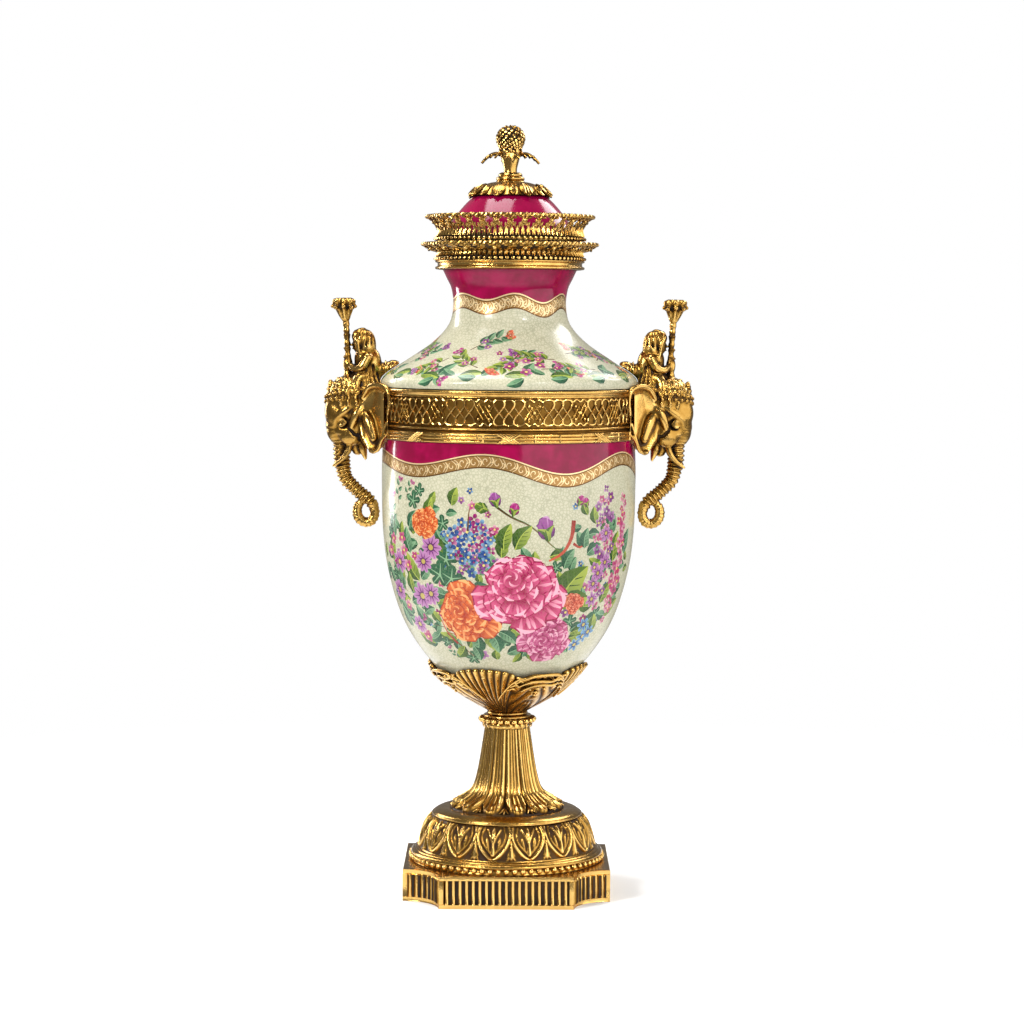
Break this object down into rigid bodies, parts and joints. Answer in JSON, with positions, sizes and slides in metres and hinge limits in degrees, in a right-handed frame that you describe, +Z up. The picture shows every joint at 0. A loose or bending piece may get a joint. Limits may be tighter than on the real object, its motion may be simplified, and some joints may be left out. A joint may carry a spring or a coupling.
{
  "type": "covered vase",
  "caption": "Tall covered porcelain vase with a hollow bulbous body and flared neck, held in gilt bronze mounts with elephant-head handles and a lift-off domed lid.",
  "frame": {"origin": "middle of the plinth's underside, on the surface that the vase stands on", "axes": "+Z up along the vase's axis; the front faces -Y; the two elephant handles look out along -X and +X"},
  "size_m": [0.3584, 0.25, 0.747],
  "materials": {
    "gilt_bronze": "fire-gilt cast bronze, burnished on the high parts, brown in the recesses",
    "painted_porcelain": "glossy ivory crackle glaze with painted flowers, gold ribbon and crimson ground",
    "crimson_porcelain": "glossy crimson glaze"
  },
  "bodies": {
    "root": {"plinth": "gilt_bronze", "foot": "gilt_bronze", "stem": "gilt_bronze", "collar": "gilt_bronze", "cup": "gilt_bronze", "bowl": "painted_porcelain", "band": "gilt_bronze", "neck": "painted_porcelain", "mouth_mount": "gilt_bronze", "lid_ring": "gilt_bronze", "lid": "crimson_porcelain", "finial": "gilt_bronze", "elephant_handle_left": "gilt_bronze", "elephant_handle_right": "gilt_bronze"}
  },
  "joints": []
}
